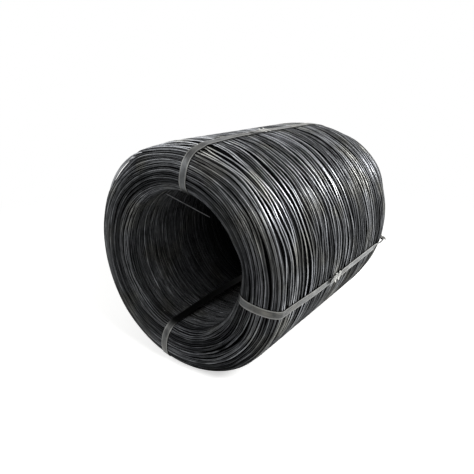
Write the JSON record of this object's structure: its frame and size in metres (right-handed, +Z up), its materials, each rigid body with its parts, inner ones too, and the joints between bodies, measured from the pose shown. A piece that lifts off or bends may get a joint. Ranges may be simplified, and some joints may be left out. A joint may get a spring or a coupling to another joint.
{
  "type": "coil of wire rod",
  "caption": "Cylindrical coil of steel wire rod lying on its side, with rounded wound ends and an open bore, held by flat steel straps with notched seals.",
  "frame": {"origin": "on the floor under the middle of the coil", "axes": "+Z up, Y along the coil's axis with the evenly rounded front end facing -Y and the tapered rear end facing +Y, +X to the right seen from the front"},
  "size_m": [0.9645, 1.262, 0.9709],
  "materials": {
    "rod": "dark grey rolled and annealed steel, satin, brighter where the turns catch the light",
    "strap": "satin grey steel strapping",
    "seal": "bright crimped steel sheet"
  },
  "bodies": {
    "root": {"rod_coil": "rod", "strap_top": "strap", "strap_side": "strap", "strap_bottom": "strap", "seal_top": "seal", "seal_side": "seal", "seal_bottom": "seal"}
  },
  "joints": []
}
